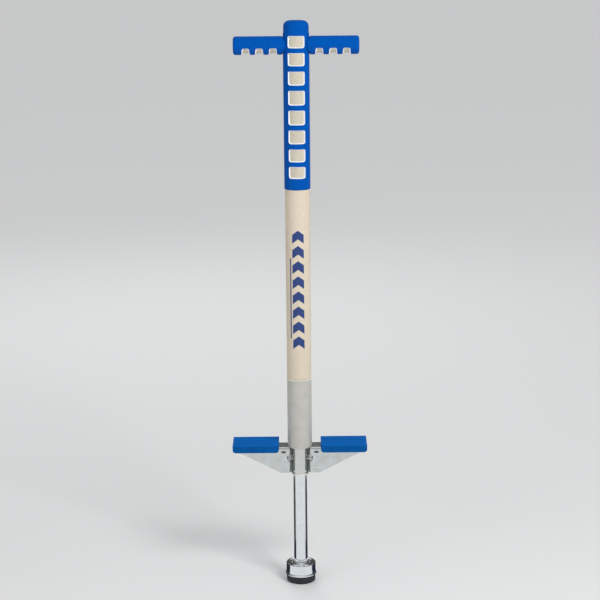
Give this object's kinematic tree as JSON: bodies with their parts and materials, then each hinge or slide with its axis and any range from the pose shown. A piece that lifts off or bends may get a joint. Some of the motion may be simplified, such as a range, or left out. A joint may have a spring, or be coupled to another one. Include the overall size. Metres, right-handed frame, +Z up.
{
  "type": "pogo stick",
  "caption": "Child's sprung pogo stick: foam-covered T handle, grey guard sleeve, folded steel brackets with blue foot pads, sliding chromed shaft and a black rubber foot.",
  "frame": {"origin": "centre of the rubber foot where it meets the ground, with the spring at rest", "axes": "+Z up the stick; +X along the handlebar and foot pads, to the rider's side seen on the right from the front; -Y towards the windowed front"},
  "size_m": [0.217, 0.053, 0.915],
  "materials": {
    "blue_foam": "closed-cell foam, matt moulded skin",
    "cream_foam": "closed-cell foam, matt, fine pores",
    "grey_plastic": "moulded polyethylene, satin",
    "zinc_steel": "zinc plated, satin",
    "spring_steel": "oiled spring steel",
    "chrome_plate": "bright chrome plate",
    "black_rubber": "matt black rubber",
    "blue_plastic": "moulded plastic, satin",
    "black_plastic": "moulded plastic",
    "white_plastic": "moulded nylon"
  },
  "bodies": {
    "frame": {"frame_tube": "zinc_steel", "guard_sleeve": "grey_plastic", "handlebar_tube": "zinc_steel", "left_bracket": "zinc_steel", "left_grip": "blue_foam", "left_grip_liner": "cream_foam", "left_handlebar_plug": "black_plastic", "left_pad": "blue_plastic", "left_pad_screws": "zinc_steel", "lower_bushing": "white_plastic", "main_spring": "spring_steel", "rebound_bumper": "black_rubber", "right_bracket": "zinc_steel", "right_grip": "blue_foam", "right_grip_liner": "cream_foam", "right_handlebar_plug": "black_plastic", "right_pad": "blue_plastic", "right_pad_screws": "zinc_steel", "spring_seat_pin": "zinc_steel", "spring_top_seat": "white_plastic", "stem_cover": "blue_foam", "stem_foam": "cream_foam", "tube_top_plug": "black_plastic"},
    "slider": {"thrust_washer": "zinc_steel"},
    "piston": {"piston_shaft": "chrome_plate", "piston_head": "zinc_steel", "piston_pin": "zinc_steel", "foot_ferrule": "chrome_plate", "foot_rubber": "black_rubber"}
  },
  "joints": [
    {"name": "piston_slide", "type": "slide", "parent": "frame", "child": "slider", "axis": [0, 0, 1], "range_m": [0, 0.1], "stiffness_N_per_m": 4900, "springref_m": -0.03, "deforming": ["main_spring"]},
    {"name": "piston_spin", "type": "hinge", "parent": "slider", "child": "piston", "pos_m": [0, 0, 0], "axis": [0, 0, 1], "continuous": true}
  ]
}
